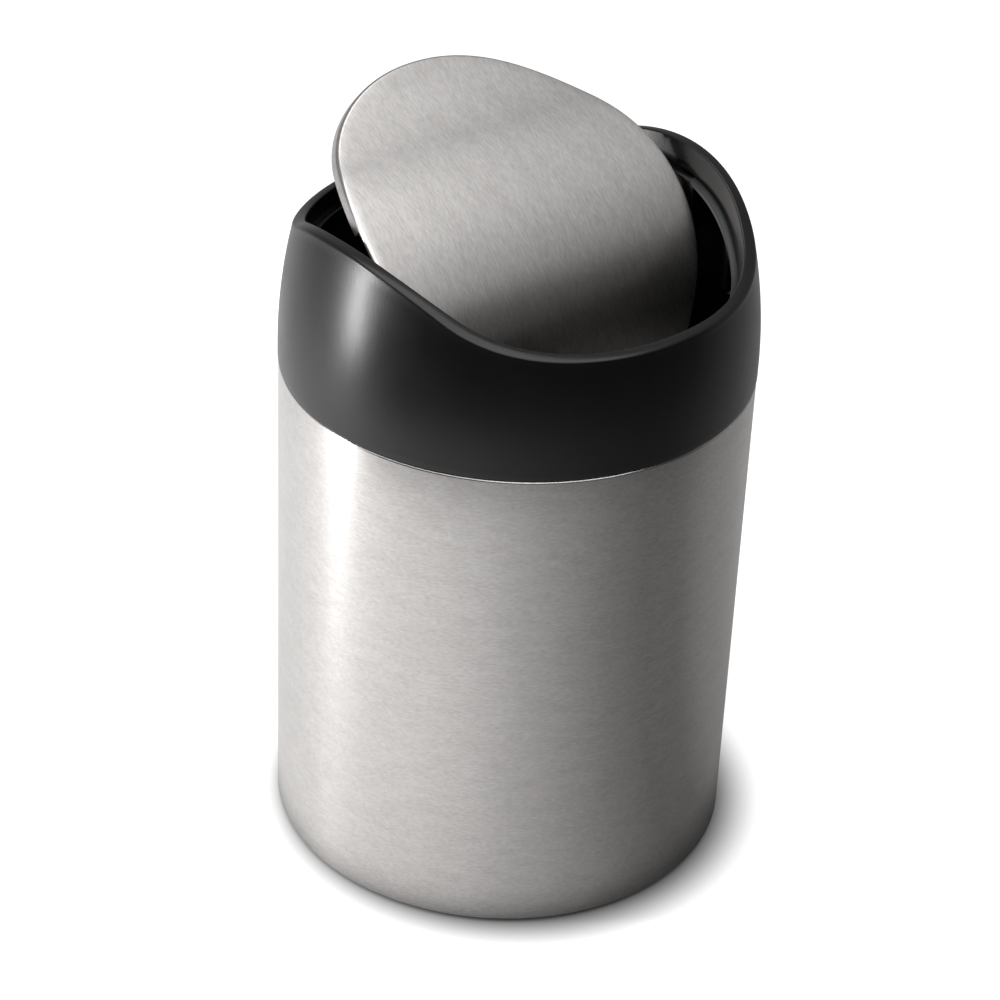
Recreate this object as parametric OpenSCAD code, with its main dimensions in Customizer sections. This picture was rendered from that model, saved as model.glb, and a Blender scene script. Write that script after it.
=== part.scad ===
// Push top countertop bin: a brushed steel can, a black collar that lifts off it,
// and a steel lid that swings on two pins in the collar and rights itself.
// Millimetres. Z is up and the origin is the middle of the footprint, on the surface.
// The front faces -Y, and the lid's pivots lie along X.

/* [Steel can] */
// Outside radius of the steel body
can_r = 61; // [56:0.5:68]
// Height of the body's top edge above the surface
can_top = 136.6; // [110:0.1:170]
// Thickness of the sheet steel
can_t = 0.6; // [0.4:0.05:0.9]
// Depth of the hem that is folded inwards at the top edge
hem_h = 5; // [3:0.5:10]
// Height of the floor pan's upper face above the surface
floor_z = 7.6; // [6.8:0.1:10]
// Depth of the floor pan's turned-down edge
pan_edge_h = 4.2; // [3.4:0.1:5]
// Width of the curl at the end of the pan's turned-down edge
pan_curl_w = 1; // [0.6:0.1:2]

/* [Base] */
// Height of the plastic base above the surface
base_z = 0.6; // [0.4:0.1:1]
// Thickness of the rim that the steel's lower edge stands on
base_rim_t = 0.6; // [0.4:0.1:1]
// Width by which the base stays inside the steel's outer face
base_inset = 0.5; // [0.2:0.1:1]
// Thickness of the base's plate
base_t = 2; // [1.6:0.1:2.4]
// Thickness of the ring that snaps over the pan's curl
snap_ring_t = 2; // [1.4:0.1:3]
// Height of the bead on the snap ring
snap_bead = 0.5; // [0.3:0.05:0.8]
// Radius of each rubber foot
foot_r = 6; // [4:0.5:8]
// Distance of the feet from the bin's axis
foot_at = 48; // [40:1:49]
// Depth of the pocket that each foot is glued into
foot_pocket = 1; // [0.6:0.1:1.2]

/* [Collar] */
// Gap between the steel's top edge and the collar
seam_gap = 0.3; // [0.3:0.05:1]
// Distance by which the collar stands proud of the steel
collar_proud = 0.15; // [0:0.05:1]
// Height of the collar from the seam to its highest point
collar_h = 45.6; // [40:0.1:52]
// Height of the collar's upright band above the seam
collar_band_h = 3.4; // [1:0.1:8]
// Radius of the inward sweep of the collar's side, seen from the front
sweep_r = 141; // [130:1:180]
// Fall of the rim from its high sides to its low front and back
rim_fall = 14.6; // [12:0.1:16]
// Distance from the collar's outer radius in to the rim's lowest points
rim_low_in = 1.85; // [1:0.05:3]
// Width of the rim, from the outer edge to the mouth
rim_w = 3; // [2.6:0.1:4]
// Squareness of the mouth's outline, where 2 is an ellipse
mouth_power = 2.15; // [2:0.05:2.4]
// Wall thickness of the moulded collar
shell_t = 2.2; // [1.6:0.1:2.4]
// Thickness of the turned-down wall inside the rim
mouth_wall_t = 1.6; // [1.2:0.1:2]
// Depth of the skirt that drops into the can
skirt_h = 15; // [10:0.5:25]
// Thickness of the skirt
skirt_t = 2.2; // [1.6:0.1:3]
// Gap between the skirt and the folded hem
skirt_gap = 0.8; // [0.6:0.1:2]
// Gap between the skirt's ribs and the folded hem
rib_gap = 0.3; // [0.3:0.05:0.5]
// Width of each rib on the skirt
rib_w = 2; // [1:0.5:4]
// Number of ribs on the skirt
rib_count = 8; // [4:1:12]

/* [Lid cradle] */
// Depth of the ledge below the rim
ledge_drop = 6; // [5.6:0.1:7]
// Thickness of the ledge
ledge_t = 1.8; // [1.4:0.1:2.4]
// Width of the ledge beside the pivots
ledge_side_w = 3.65; // [3.4:0.05:4.5]
// Width of the ledge at the front and the back
ledge_end_w = 0.7; // [0.5:0.1:1.5]
// Thickness of the legs that hang from the ledge
leg_t = 1.8; // [1.4:0.1:2]
// Depth of the screw tabs below the ledge's lowest point
tab_drop = 9.5; // [8:0.5:12]
// Parting gap between the collar's inner wall and the ledge
part_gap = 0.1; // [0.1:0.05:0.4]

/* [Pivots] */
// Depth of the pivot axis below the rim's highest point
pivot_drop = 11.5; // [11.1:0.1:13]
// Radius of the pivot pins
pin_r = 2; // [1.5:0.1:2.4]
// Length of each pin
pin_len = 10.4; // [9:0.1:13]
// Radial running clearance of a pin in its bush
pin_clear = 0.05; // [0.02:0.01:0.1]
// Wall thickness of each bush
bush_t = 1.45; // [1:0.05:1.6]
// Length of each bush in its saddle
bush_len = 3.4; // [3:0.1:3.6]
// Thickness of the collar on each bush
bush_lip_t = 0.4; // [0.3:0.05:0.5]
// Width of the collar on each bush
bush_lip_w = 1; // [0.6:0.1:1.2]
// Half width of the block that holds a bush
block_half = 9; // [8.6:0.1:11]
// Half width of the cap over a bush
cap_half = 7.5; // [6:0.1:8]
// Thickness of the cap's plate
cap_t = 1.2; // [0.8:0.1:1.6]
// Depth of the cap's upper face below the ledge
cap_sink = 0.9; // [0.4:0.1:1.2]
// Half width of the stop below each pivot
stop_half = 5.2; // [4:0.1:5.2]
// Length by which the stop reaches in under the ledge's opening
stop_reach = 3.4; // [2:0.1:4]
// Depth of the stop's upper face below the pivot axis
stop_drop = 5.8; // [5.6:0.1:6.5]
// Height of the stop
stop_h = 4; // [3:0.1:5]

/* [Lid] */
// Angle by which the lid's front stands pushed down
lid_open = 41.8; // [-69:0.1:69]
// Depth of the closed lid below the rim
lid_drop = 5.3; // [4.8:0.1:5.6]
// Gap all round between the lid and the ledge
lid_gap = 0.7; // [0.6:0.05:1.2]
// Squareness of the lid's outline, where 2 is an ellipse
lid_power = 2.1; // [2:0.05:2.3]
// Thickness of the lid's sheet steel
lid_t = 0.6; // [0.4:0.05:0.8]
// Half length of the gap in the folded edge beside each pivot
edge_gap_half = 12.7; // [11:0.1:16]
// Number of tabs that clinch the steel to the frame
tab_count = 8; // [4:2:16]
// Length of each tab
tab_len = 7; // [4:0.5:12]
// Thickness of the lid's plastic frame
frame_t = 1.8; // [1.4:0.1:2.2]
// Depth of the frame's edge below its plate
frame_edge_h = 0.2; // [0.1:0.05:0.6]
// Thickness of the frame's ribs
frame_rib_t = 1.4; // [1:0.1:2]
// Depth of the frame's ribs below its plate
frame_rib_h = 2.2; // [1.5:0.1:3]
// Distance of the frame's ribs from the lid's middle lines
frame_rib_at = 27; // [22:0.5:32]
// Radius of the ear round each pin
ear_r = 4.2; // [3.8:0.1:4.6]
// Thickness of each ear
ear_t = 4.4; // [3:0.1:6]
// Gap between an ear and the bush beside it
ear_gap = 0.6; // [0.4:0.05:1]

/* [Balance weight] */
// Length of the weight, along the pivot axis
weight_l = 64; // [50:1:72]
// Width of the weight
weight_w = 12; // [9:0.5:16]
// Thickness of the weight
weight_t = 5; // [3:0.5:7]
// Depth of the weight's upper face below the pivot axis
weight_drop = 1.5; // [0:0.1:4]
// Distance of the weight's screws from its middle
weight_screw_at = 20; // [12:1:24]
// Radius of the weight screws' thread
weight_screw_r = 1.5; // [1.2:0.1:1.8]
// Radius of the posts that the weight hangs from
post_r = 3.6; // [3:0.1:5]

/* [Cradle screws] */
// Radius of the cradle screws' thread
screw_r = 1.1; // [0.9:0.05:1.2]
// Radius of the cradle screws' head
screw_head_r = 2; // [1.8:0.05:2.1]
// Height of a screw's head
screw_head_h = 1.6; // [1.2:0.1:2]
// Length of a cradle screw under its head
screw_len = 7; // [5:0.5:7.5]
// Radius of the bosses for the cradle screws
boss_r = 2.4; // [2.2:0.1:2.5]
// Thickness of the cradle's screw tabs
tab_t = 1.9; // [1.4:0.1:2.4]
// Angle of the cradle screws from the pivots, seen from above
screw_turn = 28; // [20:1:36]

/* [Hidden] */

$fn = 96;
oval_steps = 96; // corners of the mouth's and the lid's outlines
fit_gap = 0.05;  // between curved faces that are pressed or welded together
slip_gap = 0.1;  // between faces of one body that slide into place
over = 1;        // how far a cutting tool runs past what it cuts
steel = "#c9c8c6";
black = "#262626";
left = -1;
right = 1;

// Can and base
hem_r = can_r - 2 * can_t;
pan_r = can_r - can_t - fit_gap;
pan_low = floor_z - pan_edge_h;
curl_r = pan_r - can_t - pan_curl_w;
can_low = base_z + base_rim_t;
base_top = base_z + base_t;
base_plate_r = can_r - can_t - slip_gap;
snap_r = curl_r - slip_gap;
snap_top = floor_z - can_t - slip_gap;
bead_low = pan_low + can_t + slip_gap;

// Collar: the side is upright and then sweeps inwards on one arc
seam_z = can_top + seam_gap;
collar_r = can_r + collar_proud;
sweep_z = seam_z + collar_band_h;
rim_high = seam_z + collar_h;
rim_low = rim_high - rim_fall;
function side_r(z) = collar_r - sweep_r + sqrt(sweep_r * sweep_r - (z - sweep_z) * (z - sweep_z));
skirt_r = hem_r - skirt_gap;
skirt_low = seam_z - skirt_h;

// Rim: seen from the side it is two equal arcs, a crest at the pivots and a hollow at each end
wave_half = collar_r - rim_low_in;
wave_mid = rim_high - rim_fall / 2;
wave_r = (wave_half * wave_half / 4 + rim_fall * rim_fall / 4) / rim_fall;

// Mouth, opening of the ledge (throat) and lid: half widths across X, half lengths along Y
mouth = [side_r(rim_high) - rim_w, side_r(rim_low) - rim_w];
wall_out = grow(mouth, mouth_wall_t);
cradle_out = grow(mouth, mouth_wall_t / 2);
throat = [mouth[0] - ledge_side_w, mouth[1] - ledge_end_w];
cut_low = sweep_z; // lower end of the prisms that a wave cuts off
lid = grow(throat, -lid_gap);
function grow(size, by) = [size[0] + by, size[1] + by];

// Pivots
pivot_z = rim_high - pivot_drop;
bush_r = pin_r + pin_clear + bush_t;
saddle_r = bush_r + fit_gap;
bush_out = throat[0] + bush_len;
saddle_out = bush_out + slip_gap;
pin_out = bush_out - 2 * slip_gap;
ear_out = throat[0] - bush_lip_t - ear_gap;
cap_seat = pivot_drop - ledge_drop - cap_sink - cap_t; // height of the caps' seats above the axis

// Lid frame, seen with the lid closed
frame_top = lid_drop + lid_t + fit_gap;
frame_low = frame_top + frame_t;
frame = grow(lid, -lid_t - slip_gap);
tab_steel_t = 0.5;
lid_edge_h = lid_t + frame_t + frame_edge_h + tab_steel_t + 2 * fit_gap;
tab_w = 1.2;
boss_sink = 0.5;   // of a screw boss into the inner face of the collar's wall
web_t = 1.6;       // of the web that ties a screw boss to that wall
block_inset = 0.4; // of a bearing block from the outer face of the wall above it
weight_top = pivot_z - weight_drop;

// Cradle screws, two beside each pivot
tab_z = rim_low - ledge_drop - tab_drop;
boss_low = tab_z + tab_t;
boss_top = rim_low - ledge_drop - ledge_t + 1;
boss_at = side_r(boss_top) - shell_t - boss_r + boss_sink;
tab_r = boss_r - 0.3;
leg_in = oval_r(throat, lid_power, screw_turn) + 3 * slip_gap;

// Distance of an outline from its middle, in the direction turn
function oval_r(size, power, turn) =
    pow(pow(cos(turn) / size[0], power) + pow(sin(turn) / size[1], power), -1 / power);

// Outline with half width size[0] and half length size[1]
function oval(size, power) = [
    for (i = [0 : oval_steps - 1])
        let (c = cos(360 * i / oval_steps), s = sin(360 * i / oval_steps))
            [size[0] * sign(c) * pow(abs(c), 2 / power), size[1] * sign(s) * pow(abs(s), 2 / power)]
];

// Upright prism on an outline, from height low to height high
module prism(size, power, low, high) {
    translate([0, 0, low]) linear_extrude(height = high - low) polygon(oval(size, power));
}

// Everything under the rim's wave, lowered by drop
module under_wave(drop) {
    reach = 2 * can_r;
    translate([-can_r - over, 0, 0]) rotate([90, 0, 90]) linear_extrude(height = 2 * (can_r + over))
        translate([0, -drop]) {
            intersection() {
                translate([0, rim_high - wave_r]) circle(r = wave_r, $fn = 360);
                translate([-reach / 2, wave_mid]) square([reach, rim_fall]);
            }
            difference() {
                translate([-can_r - over, -over]) square([2 * (can_r + over), wave_mid + over]);
                for (side = [-1, 1])
                    translate([side * wave_half, rim_low + wave_r]) circle(r = wave_r, $fn = 360);
            }
        }
}

// Solid of the collar's outer form, made smaller by inset, from height low to height high
module barrel(inset, low, high) {
    rotate_extrude($fn = 180) {
        translate([0, low]) square([collar_r - inset, sweep_z - low]);
        intersection() {
            translate([collar_r - sweep_r, sweep_z]) circle(r = sweep_r - inset, $fn = 720);
            translate([0, sweep_z]) square([collar_r, high - sweep_z]);
        }
    }
}

// Cylinder along X from x_low to x_high on the pivot axis
module on_pivot(x_low, x_high, r) {
    translate([x_low, 0, pivot_z]) rotate([0, 90, 0]) cylinder(h = x_high - x_low, r = r);
}

// Block between two corners
module block(low, high) {
    translate(low) cube(high - low);
}

// Copies its children to the left or the right pivot
module at_side(side) {
    if (side == left) mirror([1, 0, 0]) children();
    else children();
}

// Turns the closed lid about the pivots to its open position
module swung() {
    translate([0, 0, pivot_z]) rotate([lid_open, 0, 0]) translate([0, 0, -pivot_z]) children();
}

module at_screws() {
    for (turn = [screw_turn, 180 - screw_turn, 180 + screw_turn, -screw_turn])
        rotate([0, 0, turn]) translate([boss_at, 0, 0]) children();
}

// Drawn and brushed steel tube with its top edge folded inwards
module steel_can() color(steel) {
    rotate_extrude($fn = 180) polygon([
        [can_r - can_t, can_low], [can_r, can_low], [can_r, can_top],
        [hem_r, can_top], [hem_r, can_top - hem_h], [can_r - can_t, can_top - hem_h]
    ]);
}

// Pressed steel floor, spot welded in the tube by its turned-down edge
module floor_pan() color("#9a9a98") {
    rotate_extrude($fn = 180) polygon([
        [0, floor_z - can_t], [pan_r - can_t, floor_z - can_t], [pan_r - can_t, pan_low + can_t],
        [curl_r, pan_low + can_t], [curl_r, pan_low], [pan_r, pan_low],
        [pan_r, floor_z], [0, floor_z]
    ]);
}

// Moulded base that snaps over the pan's curl
module base_cap() color(black) difference() {
    rotate_extrude($fn = 180) polygon([
        [0, base_z], [can_r - base_inset, base_z], [can_r - base_inset, can_low],
        [base_plate_r, can_low], [base_plate_r, base_top], [snap_r, base_top],
        [snap_r, bead_low], [snap_r + snap_bead, bead_low + snap_bead],
        [snap_r, snap_top], [snap_r - snap_ring_t, snap_top],
        [snap_r - snap_ring_t, base_top], [0, base_top]
    ]);
    at_feet() translate([0, 0, base_z - over]) cylinder(h = foot_pocket + over, r = foot_r + slip_gap);
}

module at_feet() {
    for (turn = [45 : 90 : 315]) rotate([0, 0, turn]) translate([foot_at, 0, 0]) children();
}

// Four rubber feet in the pockets of the base
module rubber_feet() color("#1b1b1b") {
    at_feet() cylinder(h = base_z + foot_pocket, r = foot_r);
}

// Moulded collar: outer wall, rim, turned-down inner wall, skirt and screw bosses
module collar_shell() color(black) difference() {
    union() {
        difference() {
            intersection() {
                barrel(0, seam_z, rim_high + over);
                under_wave(0);
            }
            difference() {
                intersection() {
                    barrel(shell_t, seam_z - over, rim_high);
                    under_wave(shell_t);
                }
                difference() {
                    prism(wall_out, mouth_power, cut_low, rim_high);
                    under_wave(ledge_drop - part_gap);
                }
            }
        }
        rotate_extrude($fn = 180) polygon([
            [skirt_r - skirt_t, skirt_low], [skirt_r, skirt_low], [skirt_r, seam_z],
            [collar_r - shell_t + slip_gap, seam_z], [collar_r - shell_t + slip_gap, sweep_z],
            [skirt_r, sweep_z], [skirt_r - skirt_t, seam_z]
        ]);
        for (i = [0 : rib_count - 1]) rotate([0, 0, 360 * (i + 0.5) / rib_count]) skirt_rib();
        intersection() {
            at_screws() {
                translate([0, 0, boss_low]) cylinder(h = boss_top - boss_low, r = boss_r);
                block([0, -web_t / 2, boss_low], [can_r, web_t / 2, boss_top]);
            }
            barrel(shell_t / 2, seam_z, rim_high);
        }
    }
    prism(mouth, mouth_power, rim_low - ledge_drop, rim_high + over);
    at_screws() translate([0, 0, boss_low - over])
        cylinder(h = screw_len - tab_t + over + 0.5, r = screw_r + fit_gap);
}

// Rib that centres the skirt in the folded hem
module skirt_rib() {
    rib_out = hem_r - rib_gap;
    intersection() {
        block([skirt_r - skirt_t / 2, -rib_w / 2, skirt_low + over], [can_r, rib_w / 2, seam_z]);
        translate([0, 0, skirt_low]) cylinder(h = skirt_h, r = rib_out, $fn = 180);
    }
}

// Ledge inside the collar, with the bearing blocks, the stops and the legs to the screws
module lid_cradle() color(black) difference() {
    union() {
        difference() {
            intersection() {
                union() {
                    difference() {
                        prism(cradle_out, mouth_power, cut_low, rim_high);
                        under_wave(ledge_drop + ledge_t);
                    }
                    for (side = [left, right]) at_side(side) block(
                        [throat[0] - slip_gap, -block_half, pivot_z - stop_drop - stop_h],
                        [wall_out[0] - block_inset, block_half, rim_high]);
                    at_screws() block([leg_in - boss_at, -tab_r, tab_z],
                                      [leg_in - boss_at + leg_t, tab_r, rim_high]);
                }
                under_wave(ledge_drop);
                barrel(shell_t + slip_gap, seam_z, rim_high);
            }
            prism(throat, lid_power, cut_low, rim_high + over);
        }
        for (side = [left, right]) at_side(side) block(
            [throat[0] - stop_reach, -stop_half, pivot_z - stop_drop - stop_h],
            [throat[0] + over, stop_half, pivot_z - stop_drop]);
        at_screws() {
            translate([0, 0, tab_z]) cylinder(h = tab_t, r = tab_r);
            block([leg_in - boss_at, -tab_r, tab_z], [0, tab_r, tab_z + tab_t]);
        }
    }
    for (side = [left, right]) at_side(side) {
        on_pivot(throat[0] - over, throat[0], bush_r + bush_lip_w + slip_gap);
        on_pivot(throat[0] - over, saddle_out, saddle_r);
        block([throat[0] - over, -saddle_r, pivot_z], [saddle_out, saddle_r, rim_high]);
        block([throat[0] - over, -cap_half - slip_gap, pivot_z + cap_seat],
              [saddle_out, cap_half + slip_gap, rim_high]);
    }
    at_screws() translate([0, 0, tab_z - over]) cylinder(h = tab_t + 2 * over, r = screw_r + 2 * slip_gap);
}

// Four self-tapping screws, driven from below
module cradle_screws() color("#8f8f8d") {
    at_screws() {
        translate([0, 0, tab_z]) cylinder(h = screw_len, r = screw_r);
        translate([0, 0, tab_z - screw_head_h]) cylinder(h = screw_head_h, r = screw_head_r);
    }
}

// Acetal bush with a thin collar that keeps the lid off the block
module pivot_bush(side) color("#e4e2dc") at_side(side) difference() {
    union() {
        on_pivot(throat[0] - bush_lip_t, throat[0], bush_r + bush_lip_w);
        on_pivot(throat[0], bush_out, bush_r);
    }
    on_pivot(throat[0] - over, bush_out + over, pin_r + pin_clear);
}

module pivot_bush_left() { pivot_bush(left); }
module pivot_bush_right() { pivot_bush(right); }

// Snap-in cap that holds a bush down in its saddle
module bearing_cap(side) color("#1f1f1f") at_side(side) difference() {
    union() {
        block([throat[0] + slip_gap, -cap_half, pivot_z + cap_seat],
              [bush_out, cap_half, pivot_z + cap_seat + cap_t]);
        block([throat[0] + slip_gap, -bush_r, pivot_z + 1],
              [bush_out, bush_r, pivot_z + cap_seat]);
    }
    on_pivot(throat[0] - over, bush_out + over, saddle_r);
}

module bearing_cap_left() { bearing_cap(left); }
module bearing_cap_right() { bearing_cap(right); }

// Steel lid: a curved sheet with its edge folded down and clinched to the frame by tabs
module lid_panel() color(steel) swung() {
    difference() {
        intersection() {
            prism(lid, lid_power, cut_low, rim_high);
            under_wave(lid_drop);
        }
        under_wave(lid_drop + lid_edge_h);
        intersection() {
            prism(grow(lid, -lid_t), lid_power, cut_low - over, rim_high);
            under_wave(lid_drop + lid_t);
        }
        intersection() {
            block([-can_r, -edge_gap_half, rim_low], [can_r, edge_gap_half, rim_high]);
            under_wave(lid_drop + lid_t);
        }
    }
    intersection() {
        difference() {
            prism(grow(lid, -lid_t / 2), lid_power, cut_low, rim_high);
            prism(grow(lid, -lid_t - tab_w), lid_power, cut_low - over, rim_high + over);
        }
        difference() {
            under_wave(lid_drop + lid_edge_h - tab_steel_t);
            under_wave(lid_drop + lid_edge_h);
        }
        for (i = [0 : tab_count - 1]) rotate([0, 0, 360 * (i + 0.5) / tab_count])
            block([0, -tab_len / 2, cut_low], [can_r, tab_len / 2, rim_high]);
    }
}

// Moulded frame under the steel, with stiffening ribs, weight posts and the two ears
module lid_frame() color(black) swung() difference() {
    union() {
        intersection() {
            union() {
                difference() {
                    prism(frame, lid_power, cut_low, rim_high);
                    under_wave(frame_low);
                }
                difference() {
                    union() {
                        frame_edge();
                        frame_ribs();
                    }
                    block([-can_r, -edge_gap_half, cut_low], [-ear_out + ear_t, edge_gap_half, rim_high]);
                    block([ear_out - ear_t, -edge_gap_half, cut_low], [can_r, edge_gap_half, rim_high]);
                }
                for (x = [-weight_screw_at, weight_screw_at])
                    translate([x, 0, weight_top]) cylinder(h = rim_high - weight_top, r = post_r);
                for (side = [left, right]) at_side(side) {
                    on_pivot(ear_out - ear_t, ear_out, ear_r);
                    block([ear_out - ear_t, -ear_r, pivot_z], [ear_out, ear_r, rim_high]);
                }
            }
            under_wave(frame_top);
        }
    }
    for (side = [left, right]) at_side(side) on_pivot(pin_out - pin_len - slip_gap, can_r, pin_r + slip_gap / 5);
    for (x = [-weight_screw_at, weight_screw_at])
        translate([x, 0, weight_top - over]) cylinder(h = screw_depth() + over, r = weight_screw_r + slip_gap / 5);
}

function screw_depth() = rim_high - frame_low - weight_top - slip_gap;

module frame_edge() {
    difference() {
        prism(frame, lid_power, cut_low, rim_high);
        prism(grow(frame, -frame_rib_t), lid_power, cut_low - over, rim_high + over);
        under_wave(lid_drop + lid_edge_h - tab_steel_t - fit_gap);
    }
}

module frame_ribs() {
    intersection() {
        difference() {
            prism(grow(frame, -frame_rib_t + fit_gap), lid_power, cut_low - over, rim_high);
            under_wave(frame_low + frame_rib_h);
        }
        for (at = [-frame_rib_at, frame_rib_at]) {
            block([-can_r, at - frame_rib_t / 2, cut_low], [can_r, at + frame_rib_t / 2, rim_high]);
            block([at - frame_rib_t / 2, -frame_rib_at, cut_low],
                  [at + frame_rib_t / 2, frame_rib_at, rim_high]);
        }
    }
}

// Steel bar under the pivots that brings the lid back level
module balance_weight() color("#77787a") swung() difference() {
    union() {
        block([weight_w / 2 - weight_l / 2, -weight_w / 2, weight_top - weight_t],
              [weight_l / 2 - weight_w / 2, weight_w / 2, weight_top]);
        for (side = [-1, 1]) translate([side * (weight_l - weight_w) / 2, 0, weight_top - weight_t])
            cylinder(h = weight_t, r = weight_w / 2);
    }
    for (x = [-weight_screw_at, weight_screw_at]) translate([x, 0, weight_top - weight_t - over])
        cylinder(h = weight_t + 2 * over, r = weight_screw_r + slip_gap);
}

// Two screws that hold the weight to its posts
module weight_screws() color("#8f8f8d") swung() {
    for (x = [-weight_screw_at, weight_screw_at]) translate([x, 0, weight_top - weight_t]) {
        cylinder(h = weight_t + screw_depth() - 2 * slip_gap, r = weight_screw_r);
        translate([0, 0, -screw_head_h]) cylinder(h = screw_head_h, r = 2 * weight_screw_r);
    }
}

// Steel pin, pressed into the frame's ear and turning in the bush
module pivot_pin(side) color("#a9a9a7") at_side(side) on_pivot(pin_out - pin_len, pin_out, pin_r);

module pivot_pin_left() { swung() pivot_pin(left); }
module pivot_pin_right() { swung() pivot_pin(right); }

steel_can();
floor_pan();
base_cap();
rubber_feet();
collar_shell();
lid_cradle();
cradle_screws();
pivot_bush_left();
pivot_bush_right();
bearing_cap_left();
bearing_cap_right();
lid_panel();
lid_frame();
balance_weight();
weight_screws();
pivot_pin_left();
pivot_pin_right();
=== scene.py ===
import math

import bpy
from mathutils import Matrix, Quaternion, Vector


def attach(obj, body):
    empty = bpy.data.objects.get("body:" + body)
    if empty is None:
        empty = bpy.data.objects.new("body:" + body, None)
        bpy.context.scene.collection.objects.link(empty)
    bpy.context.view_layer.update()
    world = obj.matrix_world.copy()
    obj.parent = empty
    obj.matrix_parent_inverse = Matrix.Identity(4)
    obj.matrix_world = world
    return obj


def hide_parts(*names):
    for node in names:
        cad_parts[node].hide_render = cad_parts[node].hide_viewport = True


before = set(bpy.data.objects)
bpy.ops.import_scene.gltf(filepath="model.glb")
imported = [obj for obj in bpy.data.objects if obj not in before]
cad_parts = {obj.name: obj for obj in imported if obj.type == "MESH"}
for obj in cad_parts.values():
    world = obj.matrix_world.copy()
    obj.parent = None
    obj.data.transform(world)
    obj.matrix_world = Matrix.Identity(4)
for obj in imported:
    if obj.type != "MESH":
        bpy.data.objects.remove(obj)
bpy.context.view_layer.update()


# ---- Steel can ----
# A strip of stainless steel sheet, rolled and welded into a tube, brushed round and round,
# with its top edge folded inwards into a hem. The floor pan is spot welded inside it.

MM = 0.001
CAN_R = 61.0
CAN_LOW = 1.2
CAN_TOP = 136.6
SHEET_T = 0.6
HEM_DEPTH = 5.0
CUT_SOFT = 0.1
SIDE_STEPS = 8


def arc(across, up, radius, start, end, steps):
    """Points of (distance from the axis, height) along a rounded corner."""
    points = []
    for step in range(steps + 1):
        angle = math.radians(start + (end - start) * step / steps)
        points.append((across + radius * math.cos(angle), up + radius * math.sin(angle)))
    return points


def turned(name, profile, columns=192, hollow=True):
    """A round piece made by extruding and scaling one ring along a profile in mm.

    A hollow piece's profile closes on itself. A solid one starts and ends beside the axis,
    where both ends are filled."""
    bpy.ops.object.select_all(action="DESELECT")
    bpy.ops.mesh.primitive_circle_add(
        vertices=columns,
        radius=profile[0][0] * MM,
        location=(0, 0, profile[0][1] * MM),
    )
    piece = bpy.context.object
    piece.name = name
    bpy.ops.object.transform_apply(location=True, rotation=True, scale=True)
    bpy.ops.object.mode_set(mode="EDIT")
    bpy.ops.mesh.select_all(action="SELECT")
    path = profile + profile[:1] if hollow else profile
    for (across, up), (next_across, next_up) in zip(path, path[1:]):
        bpy.ops.mesh.extrude_region_move(
            TRANSFORM_OT_translate={"value": (0, 0, (next_up - up) * MM)}
        )
        bpy.ops.transform.resize(
            value=(next_across / across, next_across / across, 1),
            center_override=(0, 0, next_up * MM),
        )
    bpy.ops.mesh.select_all(action="SELECT")
    if not hollow:
        bpy.ops.mesh.fill_holes(sides=0)
    bpy.ops.mesh.remove_doubles(threshold=0.002 * MM)
    bpy.ops.mesh.normals_make_consistent(inside=False)
    bpy.ops.object.mode_set(mode="OBJECT")
    bpy.ops.object.shade_smooth_by_angle(angle=math.radians(35))
    return piece


can = turned(
    "brushed_can",
    [(CAN_R - SHEET_T, CAN_LOW), (CAN_R - CUT_SOFT, CAN_LOW), (CAN_R, CAN_LOW + CUT_SOFT)]
    + [
        (CAN_R, CAN_LOW + (CAN_TOP - SHEET_T - CAN_LOW) * step / SIDE_STEPS)
        for step in range(1, SIDE_STEPS)
    ]
    + arc(CAN_R - SHEET_T, CAN_TOP - SHEET_T, SHEET_T, 0, 180, 10)
    + [(CAN_R - 2 * SHEET_T, CAN_TOP - HEM_DEPTH), (CAN_R - SHEET_T, CAN_TOP - HEM_DEPTH)],
)


def linear(hex_colour):
    """An sRGB hex colour as the linear colour that shaders take."""
    channels = [int(hex_colour[place:place + 2], 16) / 255 for place in (1, 3, 5)]
    return tuple(
        c / 12.92 if c <= 0.04045 else ((c + 0.055) / 1.055) ** 2.4 for c in channels
    ) + (1.0,)


def add_node(owner, kind, settings=None, sockets=None, links=None):
    """Adds one shader node to a material or a world, with its settings, values and links.

    A socket goes by its name, or by its number where several share a name."""
    node = owner.node_tree.nodes.new(kind)
    for name, value in (settings or {}).items():
        setattr(node, name, value)
    for name, value in (sockets or {}).items():
        node.inputs[name].default_value = value
    for name, source in (links or {}).items():
        owner.node_tree.links.new(source, node.inputs[name])
    return node


def new_finish(name):
    """An empty material with its output node."""
    material = bpy.data.materials.new(name)
    material.use_nodes = True
    material.node_tree.nodes.clear()
    return material


def finish_with(material, surface):
    """Joins the last shader to the material's output."""
    add_node(material, "ShaderNodeOutputMaterial", links={"Surface": surface})


# The hairlines are drawn 0.42 mm apart, coarser than the real ones of about 0.1 mm, so
# that they show. The streaks that group them are six times as wide.
GRAIN_MM = 0.42
STREAK_SCALE = 0.16
STREAK_SHARE = 0.3


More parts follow.
